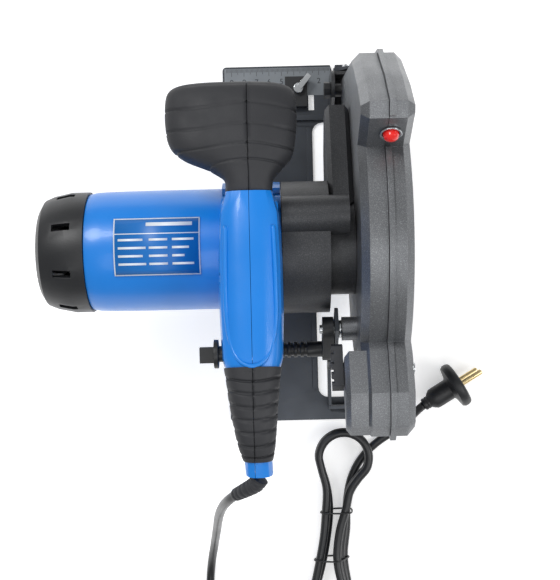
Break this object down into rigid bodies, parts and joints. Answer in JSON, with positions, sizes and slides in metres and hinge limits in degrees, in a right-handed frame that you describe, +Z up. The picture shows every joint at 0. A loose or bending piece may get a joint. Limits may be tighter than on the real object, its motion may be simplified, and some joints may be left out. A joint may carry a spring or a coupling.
{
  "type": "hand-held circular saw",
  "caption": "Corded hand-held circular saw on a tilting steel shoe, with cast guard, swinging lower guard, D handle and front grip.",
  "frame": {"origin": "on the underside of the shoe, to the left of its window, under the middle of the saw", "axes": "+X from the motor to the blade, +Y the cutting direction, +Z up"},
  "size_m": [0.3168, 0.4953, 0.2268],
  "materials": {
    "cast_silver": "fine speckled satin die casting",
    "cast_dark": "dark grey as-cast die casting",
    "steel": "bright turned steel",
    "sheet_steel": "blue-grey pressed sheet",
    "blue_plastic": "bright blue moulded plastic, semi-gloss",
    "black_plastic": "black moulded plastic",
    "red_plastic": "red domed button",
    "black_rubber": "matt charcoal overmould",
    "copper": "copper winding and commutator",
    "label": "blank printed plate",
    "cord": "black flexible cord sheath"
  },
  "bodies": {
    "shoe": {"shoe_plate": "sheet_steel", "front_quadrant": "sheet_steel", "rear_upright": "sheet_steel", "guide_clamp": "black_plastic", "cord_hank": "cord", "plug_lead": "cord", "mains_plug": "black_plastic"},
    "guide_screw": {"guide_screw": "steel"},
    "carrier": {"front_bracket": "cast_dark", "depth_pivot_pin": "black_plastic", "bevel_pin_front": "steel", "bevel_pin_rear": "steel", "depth_link": "sheet_steel", "cord_lead": "cord"},
    "bevel_knob": {"bevel_knob": "black_plastic"},
    "saw": {"guard_inner": "cast_silver", "guard_outer": "cast_silver", "guard_screw_1": "steel", "guard_screw_2": "steel", "guard_screw_3": "steel", "chip_strip": "black_rubber", "button_bezel": "steel", "gear_housing": "cast_dark", "motor_housing": "blue_plastic", "end_cap": "black_plastic", "stator": "steel", "front_bearing": "steel", "rear_bearing": "steel", "carbon_brush_1": "black_plastic", "carbon_brush_2": "black_plastic", "rating_plate": "label", "spindle_bearing": "steel", "depth_bolt": "steel", "handle_shell_left": "blue_plastic", "handle_shell_right": "blue_plastic", "rear_grip_left": "black_rubber", "rear_grip_right": "black_rubber", "handle_screw_1": "steel", "handle_screw_2": "steel", "front_grip_left": "black_rubber", "front_grip_right": "black_rubber", "cord_boot": "black_rubber"},
    "armature": {"armature_shaft": "steel", "armature_core": "copper", "commutator": "copper", "cooling_fan": "black_plastic"},
    "spindle": {"spindle_shaft": "steel", "drive_gear": "steel", "inner_flange": "steel", "saw_blade": "steel", "outer_flange": "steel", "blade_bolt": "steel"},
    "lower_guard": {"lower_guard": "cast_dark"},
    "depth_lever": {"depth_lever": "black_plastic"},
    "trigger": {"trigger": "black_plastic"},
    "lock_off_lever": {"lock_off_lever": "black_plastic"},
    "spindle_lock": {"spindle_lock_button": "black_plastic"},
    "light_button": {"light_button": "red_plastic"}
  },
  "joints": [
    {"name": "bevel", "type": "hinge", "parent": "shoe", "child": "carrier", "pos_m": [0.06, 0, 0.0135], "axis": [0, 1, 0], "range_deg": [0, 45]},
    {"name": "depth", "type": "hinge", "parent": "carrier", "child": "saw", "pos_m": [0.06, 0.153, 0.038], "axis": [1, 0, 0], "range_deg": [0, 31], "deforming": ["cord_lead"]},
    {"name": "spindle_spin", "type": "hinge", "parent": "saw", "child": "spindle", "pos_m": [0.06, 0.038, 0.0995], "axis": [1, 0, 0], "continuous": true},
    {"name": "armature_spin", "type": "hinge", "parent": "saw", "child": "armature", "pos_m": [-0.06, 0.029, 0.128], "axis": [1, 0, 0], "continuous": true},
    {"name": "lower_guard_swing", "type": "hinge", "parent": "saw", "child": "lower_guard", "pos_m": [0.0558, 0.038, 0.0995], "axis": [-1, 0, 0], "range_deg": [0, 105], "stiffness_Nm_per_rad": 0.3, "springref_deg": -40.11},
    {"name": "depth_lever_turn", "type": "hinge", "parent": "saw", "child": "depth_lever", "pos_m": [0.032, -0.02717, 0.13787], "axis": [-1, 0, 0], "range_deg": [0, 40]},
    {"name": "trigger_pull", "type": "hinge", "parent": "saw", "child": "trigger", "pos_m": [-0.018, -0.046, 0.184], "axis": [-1, 0, 0], "range_deg": [0, 7], "stiffness_Nm_per_rad": 0.25, "springref_deg": -8.59},
    {"name": "lock_off_turn", "type": "hinge", "parent": "saw", "child": "lock_off_lever", "pos_m": [-0.046, -0.039, 0.193], "axis": [1, 0, 0], "range_deg": [0, 20], "stiffness_Nm_per_rad": 0.05, "springref_deg": -8.59},
    {"name": "spindle_lock_press", "type": "slide", "parent": "saw", "child": "spindle_lock", "axis": [0, -1, 0], "range_m": [0, 0.004], "stiffness_N_per_m": 400, "springref_m": -0.002},
    {"name": "light_button_press", "type": "slide", "parent": "saw", "child": "light_button", "axis": [0, 0.9121, -0.41], "range_m": [0, 0.003], "stiffness_N_per_m": 400, "springref_m": -0.002},
    {"name": "bevel_knob_turn", "type": "hinge", "parent": "carrier", "child": "bevel_knob", "pos_m": [0.08057, 0.1765, 0.03801], "axis": [0, 1, 0], "range_deg": [0, 90]},
    {"name": "guide_screw_turn", "type": "hinge", "parent": "shoe", "child": "guide_screw", "pos_m": [0.0185, 0.16, 0.012], "axis": [0, 0, 1], "range_deg": [-90, 90]}
  ],
  "couplings": [
    {"joint": "armature_spin", "follows": "spindle_spin", "ratio": -3.7778}
  ]
}
